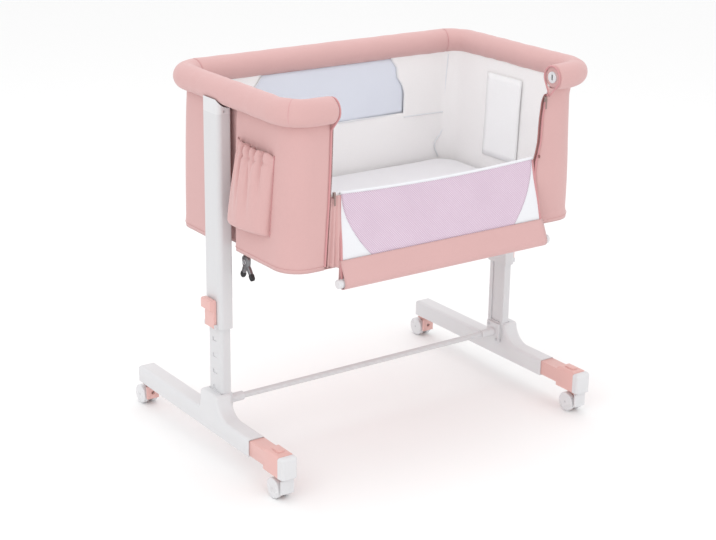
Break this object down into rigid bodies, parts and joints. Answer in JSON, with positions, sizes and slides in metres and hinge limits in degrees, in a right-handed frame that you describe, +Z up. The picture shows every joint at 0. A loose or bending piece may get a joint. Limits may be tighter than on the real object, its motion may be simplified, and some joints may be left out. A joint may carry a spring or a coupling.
{
  "type": "bedside sleeper crib",
  "caption": "Bedside sleeper crib: padded rail basket with mesh drop side, hung between two height-adjustable columns on long feet with casters.",
  "frame": {"origin": "on the floor, under the centre of the overall box", "axes": "+X along the crib's length, -Y towards the bed and the drop side, +Z up"},
  "size_m": [0.9496, 0.718, 0.929],
  "materials": {
    "white_plastic": "satin moulded plastic",
    "white_metal": "satin powder coat",
    "pink_plastic": "satin moulded plastic",
    "wheel_plastic": "smooth moulded plastic",
    "steel": "plain steel",
    "steel_tube": "thin tube, covered",
    "pink_fabric": "woven cloth, quilted padding on the rail",
    "liner_fabric": "smooth woven cloth",
    "back_mesh": "fine open mesh",
    "drop_mesh": "fine open mesh with a pink band",
    "mattress_fabric": "soft quilted cloth",
    "board": "stiff flat board",
    "clip_metal": "metal clip with dark rubber tips"
  },
  "bodies": {
    "stand": {"left_foot_shell": "white_plastic", "left_column": "white_metal", "right_foot_shell": "white_plastic", "right_column": "white_metal", "crossbar_couplers": "white_plastic", "coupler_screws": "steel", "crossbar": "white_metal"},
    "left_extension": {"left_foot_slide": "pink_plastic", "left_foot_end_cap": "white_plastic"},
    "left_release": {"left_slide_button": "pink_plastic"},
    "right_extension": {"right_foot_slide": "pink_plastic", "right_foot_end_cap": "white_plastic"},
    "right_release": {"right_slide_button": "pink_plastic"},
    "left_front_caster": {"left_front_caster_hood": "pink_plastic", "left_front_caster_axle": "steel"},
    "left_front_wheels": {"left_front_caster_wheels": "wheel_plastic"},
    "left_front_brake": {"left_front_brake_pedal": "white_plastic"},
    "left_rear_caster": {"left_rear_caster_hood": "pink_plastic", "left_rear_caster_axle": "steel"},
    "left_rear_wheels": {"left_rear_caster_wheels": "wheel_plastic"},
    "right_front_caster": {"right_front_caster_hood": "pink_plastic", "right_front_caster_axle": "steel"},
    "right_front_wheels": {"right_front_caster_wheels": "wheel_plastic"},
    "right_front_brake": {"right_front_brake_pedal": "white_plastic"},
    "right_rear_caster": {"right_rear_caster_hood": "pink_plastic", "right_rear_caster_axle": "steel"},
    "right_rear_wheels": {"right_rear_caster_wheels": "wheel_plastic"},
    "left_upright": {"left_sleeve": "white_metal", "left_sleeve_cap": "white_plastic", "left_tilt_pin": "steel", "left_lever_pin": "steel"},
    "left_lever": {"left_height_lever": "pink_plastic"},
    "right_upright": {"right_sleeve": "white_metal", "right_sleeve_cap": "white_plastic", "right_tilt_pin": "steel", "right_lever_pin": "steel"},
    "right_lever": {"right_height_lever": "pink_plastic"},
    "basket": {"top_rail_tube": "steel_tube", "rail_padding": "pink_fabric", "rail_brackets": "steel", "rail_sockets": "white_plastic", "basket_fabric": "pink_fabric", "basket_liner": "liner_fabric", "back_window_mesh": "back_mesh", "front_wall": "liner_fabric", "base_frame": "steel_tube", "base_board": "board", "left_pocket": "pink_fabric", "right_pocket": "pink_fabric"},
    "mattress": {"mattress": "mattress_fabric"},
    "drop_side": {"drop_panel": "drop_mesh", "drop_bar": "steel_tube", "drop_bar_plugs": "white_plastic"},
    "left_zip": {"left_zip_slider": "white_plastic"},
    "right_zip": {"right_zip_slider": "white_plastic"},
    "strap": {"bed_strap_clip": "clip_metal"}
  },
  "joints": [
    {"name": "left_extension_slide", "type": "slide", "parent": "stand", "child": "left_extension", "axis": [0, 1, 0], "range_m": [0, 0.06]},
    {"name": "left_release_press", "type": "slide", "parent": "left_extension", "child": "left_release", "axis": [0, 0, -1], "range_m": [0, 0.003], "stiffness_N_per_m": 400, "springref_m": -0.001},
    {"name": "right_extension_slide", "type": "slide", "parent": "stand", "child": "right_extension", "axis": [0, 1, 0], "range_m": [0, 0.06]},
    {"name": "right_release_press", "type": "slide", "parent": "right_extension", "child": "right_release", "axis": [0, 0, -1], "range_m": [0, 0.003], "stiffness_N_per_m": 400, "springref_m": -0.001},
    {"name": "left_front_caster_swivel", "type": "hinge", "parent": "left_extension", "child": "left_front_caster", "pos_m": [-0.45, -0.332, 0.06], "axis": [0, 0, 1], "continuous": true},
    {"name": "left_front_wheel_spin", "type": "hinge", "parent": "left_front_caster", "child": "left_front_wheels", "pos_m": [-0.45, -0.314, 0.025], "axis": [1, 0, 0], "continuous": true},
    {"name": "left_front_brake_press", "type": "hinge", "parent": "left_front_caster", "child": "left_front_brake", "pos_m": [-0.45, -0.337, 0.0495], "axis": [1, 0, 0], "range_deg": [0, 8]},
    {"name": "left_rear_caster_swivel", "type": "hinge", "parent": "stand", "child": "left_rear_caster", "pos_m": [-0.45, 0.316, 0.06], "axis": [0, 0, 1], "continuous": true},
    {"name": "left_rear_wheel_spin", "type": "hinge", "parent": "left_rear_caster", "child": "left_rear_wheels", "pos_m": [-0.45, 0.334, 0.025], "axis": [1, 0, 0], "continuous": true},
    {"name": "right_front_caster_swivel", "type": "hinge", "parent": "right_extension", "child": "right_front_caster", "pos_m": [0.45, -0.332, 0.06], "axis": [0, 0, 1], "continuous": true},
    {"name": "right_front_wheel_spin", "type": "hinge", "parent": "right_front_caster", "child": "right_front_wheels", "pos_m": [0.45, -0.314, 0.025], "axis": [1, 0, 0], "continuous": true},
    {"name": "right_front_brake_press", "type": "hinge", "parent": "right_front_caster", "child": "right_front_brake", "pos_m": [0.45, -0.337, 0.0495], "axis": [1, 0, 0], "range_deg": [0, 8]},
    {"name": "right_rear_caster_swivel", "type": "hinge", "parent": "stand", "child": "right_rear_caster", "pos_m": [0.45, 0.316, 0.06], "axis": [0, 0, 1], "continuous": true},
    {"name": "right_rear_wheel_spin", "type": "hinge", "parent": "right_rear_caster", "child": "right_rear_wheels", "pos_m": [0.45, 0.334, 0.025], "axis": [1, 0, 0], "continuous": true},
    {"name": "height_slide", "type": "slide", "parent": "stand", "child": "left_upright", "axis": [0, 0, 1], "range_m": [-0.166, 0]},
    {"name": "basket_tilt", "type": "hinge", "parent": "left_upright", "child": "basket", "pos_m": [-0.438, -0.026, 0.856], "axis": [0, 1, 0], "range_deg": [0, 2.7]},
    {"name": "right_upright_follow", "type": "hinge", "parent": "basket", "child": "right_upright", "pos_m": [0.438, -0.026, 0.856], "axis": [0, 1, 0], "range_deg": [-2.7, 0]},
    {"name": "left_lever_press", "type": "hinge", "parent": "left_upright", "child": "left_lever", "pos_m": [-0.46055, -0.026, 0.333], "axis": [0, -1, 0], "range_deg": [0, 11], "stiffness_Nm_per_rad": 0.6, "springref_deg": -5.73},
    {"name": "right_lever_press", "type": "hinge", "parent": "right_upright", "child": "right_lever", "pos_m": [0.46055, -0.026, 0.333], "axis": [0, 1, 0], "range_deg": [0, 11], "stiffness_Nm_per_rad": 0.6, "springref_deg": -5.73},
    {"name": "drop_side_fold", "type": "hinge", "parent": "basket", "child": "drop_side", "pos_m": [0, -0.303, 0.699], "axis": [-1, 0, 0], "range_deg": [0, 164]},
    {"name": "mattress_lift", "type": "slide", "parent": "basket", "child": "mattress", "axis": [0, 0, 1], "range_m": [0, 0.2]},
    {"name": "left_zip_slide", "type": "slide", "parent": "basket", "child": "left_zip", "axis": [0, 0, 1], "range_m": [0, 0.125]},
    {"name": "right_zip_slide", "type": "slide", "parent": "basket", "child": "right_zip", "axis": [0, 0, 1], "range_m": [-0.125, 0]},
    {"name": "strap_swing", "type": "hinge", "parent": "basket", "child": "strap", "pos_m": [-0.397, -0.082, 0.5265], "axis": [0, 1, 0], "range_deg": [-30, 30]}
  ],
  "couplings": [
    {"joint": "right_upright_follow", "follows": "basket_tilt", "ratio": -1}
  ]
}
